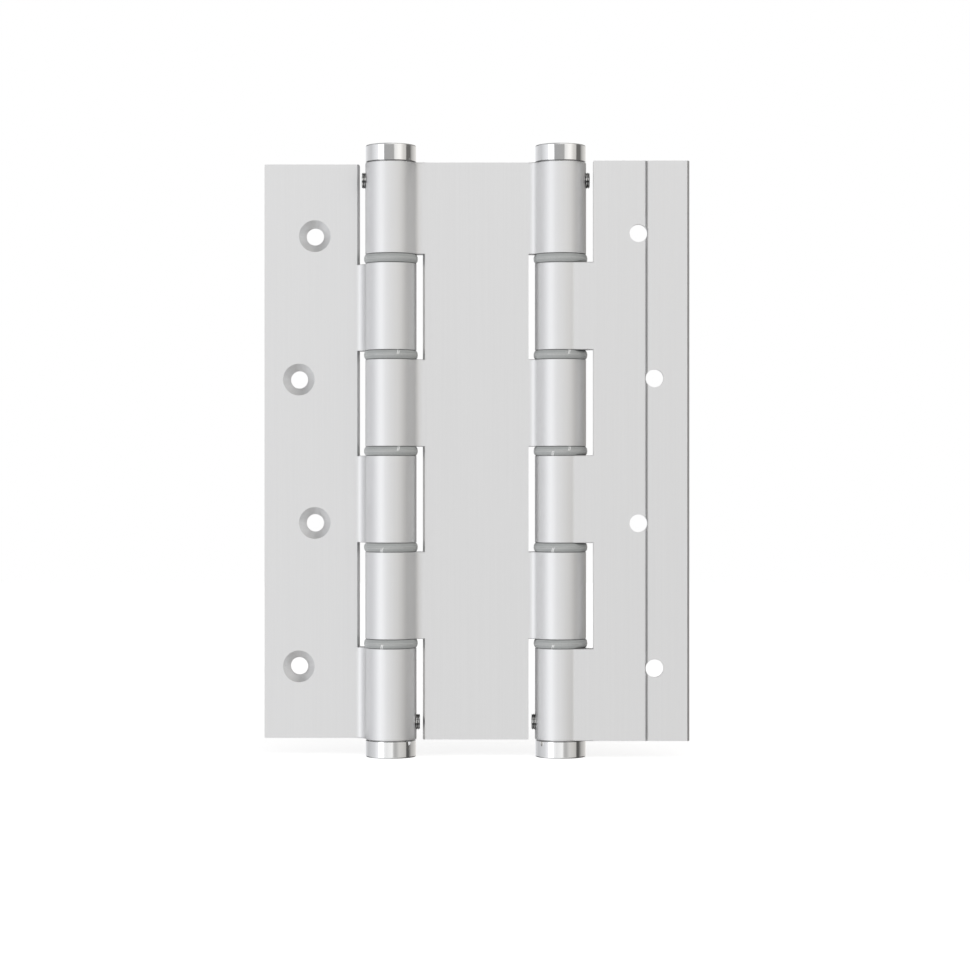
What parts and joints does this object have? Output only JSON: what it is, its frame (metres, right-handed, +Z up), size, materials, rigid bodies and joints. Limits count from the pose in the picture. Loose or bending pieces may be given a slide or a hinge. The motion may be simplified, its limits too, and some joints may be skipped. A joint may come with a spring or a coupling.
{
  "type": "double action spring hinge",
  "caption": "Aluminium double action spring hinge: two leaves and a centre plate joined by two sprung barrels with grey bushes and chrome tension caps.",
  "frame": {"origin": "middle of the centre plate, half way between the two barrel axes, at mid height", "axes": "+Z up along the barrels, +X from the frame leaf to the door leaf, -Y towards the side that shows the frame leaf's countersinks"},
  "size_m": [0.1326, 0.0168, 0.1908],
  "materials": {
    "satin_aluminium": "satin anodised",
    "bush_plastic": "moulded grey plastic",
    "tube_steel": "ground bright steel",
    "spring_steel": "oiled spring steel",
    "chrome": "polished chrome plate",
    "screw_steel": "black oxide"
  },
  "bodies": {
    "frame_leaf": {"frame_leaf": "satin_aluminium", "frame_bush_1_lower": "bush_plastic", "frame_bush_2_upper": "bush_plastic", "frame_bush_3_lower": "bush_plastic", "frame_bush_4_upper": "bush_plastic", "frame_bush_5_lower": "bush_plastic", "frame_hinge_tube": "tube_steel", "frame_torsion_spring": "spring_steel"},
    "centre_plate": {"centre_plate": "satin_aluminium", "frame_bush_1_upper": "bush_plastic", "frame_bush_2_lower": "bush_plastic", "frame_bush_3_upper": "bush_plastic", "frame_bush_4_lower": "bush_plastic", "frame_bush_5_upper": "bush_plastic", "door_bush_1_upper": "bush_plastic", "door_bush_2_lower": "bush_plastic", "door_bush_3_upper": "bush_plastic", "door_bush_4_lower": "bush_plastic", "door_bush_5_upper": "bush_plastic"},
    "door_leaf": {"door_leaf": "satin_aluminium", "door_bush_1_lower": "bush_plastic", "door_bush_2_upper": "bush_plastic", "door_bush_3_lower": "bush_plastic", "door_bush_4_upper": "bush_plastic", "door_bush_5_lower": "bush_plastic", "door_hinge_tube": "tube_steel", "door_torsion_spring": "spring_steel"},
    "frame_top_tension_plug": {"frame_top_tension_plug": "chrome"},
    "frame_top_set_screw": {"frame_top_set_screw": "screw_steel"},
    "frame_bottom_tension_plug": {"frame_bottom_tension_plug": "chrome"},
    "frame_bottom_set_screw": {"frame_bottom_set_screw": "screw_steel"},
    "door_top_tension_plug": {"door_top_tension_plug": "chrome"},
    "door_top_set_screw": {"door_top_set_screw": "screw_steel"},
    "door_bottom_tension_plug": {"door_bottom_tension_plug": "chrome"},
    "door_bottom_set_screw": {"door_bottom_set_screw": "screw_steel"}
  },
  "joints": [
    {"name": "frame_hinge", "type": "hinge", "parent": "frame_leaf", "child": "centre_plate", "pos_m": [-0.0265, 0, 0], "axis": [0, 0, -1], "range_deg": [-115, 180], "stiffness_Nm_per_rad": 0.3, "deforming": ["frame_torsion_spring"]},
    {"name": "door_hinge", "type": "hinge", "parent": "centre_plate", "child": "door_leaf", "pos_m": [0.0265, 0, 0], "axis": [0, 0, 1], "range_deg": [-115, 180], "stiffness_Nm_per_rad": 0.3, "deforming": ["door_torsion_spring"]},
    {"name": "frame_top_tension", "type": "hinge", "parent": "centre_plate", "child": "frame_top_tension_plug", "pos_m": [-0.0265, 0, 0.09], "axis": [0, 0, 1], "range_deg": [0, 360], "deforming": ["frame_torsion_spring"]},
    {"name": "frame_top_lock", "type": "slide", "parent": "centre_plate", "child": "frame_top_set_screw", "axis": [-1, 0, 0], "range_m": [0, 0.0005]},
    {"name": "frame_bottom_tension", "type": "hinge", "parent": "frame_leaf", "child": "frame_bottom_tension_plug", "pos_m": [-0.0265, 0, -0.09], "axis": [0, 0, -1], "range_deg": [0, 360], "deforming": ["frame_torsion_spring"]},
    {"name": "frame_bottom_lock", "type": "slide", "parent": "frame_leaf", "child": "frame_bottom_set_screw", "axis": [1, 0, 0], "range_m": [0, 0.0005]},
    {"name": "door_top_tension", "type": "hinge", "parent": "centre_plate", "child": "door_top_tension_plug", "pos_m": [0.0265, 0, 0.09], "axis": [0, 0, 1], "range_deg": [0, 360], "deforming": ["door_torsion_spring"]},
    {"name": "door_top_lock", "type": "slide", "parent": "centre_plate", "child": "door_top_set_screw", "axis": [1, 0, 0], "range_m": [0, 0.0005]},
    {"name": "door_bottom_tension", "type": "hinge", "parent": "door_leaf", "child": "door_bottom_tension_plug", "pos_m": [0.0265, 0, -0.09], "axis": [0, 0, -1], "range_deg": [0, 360], "deforming": ["door_torsion_spring"]},
    {"name": "door_bottom_lock", "type": "slide", "parent": "door_leaf", "child": "door_bottom_set_screw", "axis": [-1, 0, 0], "range_m": [0, 0.0005]}
  ]
}
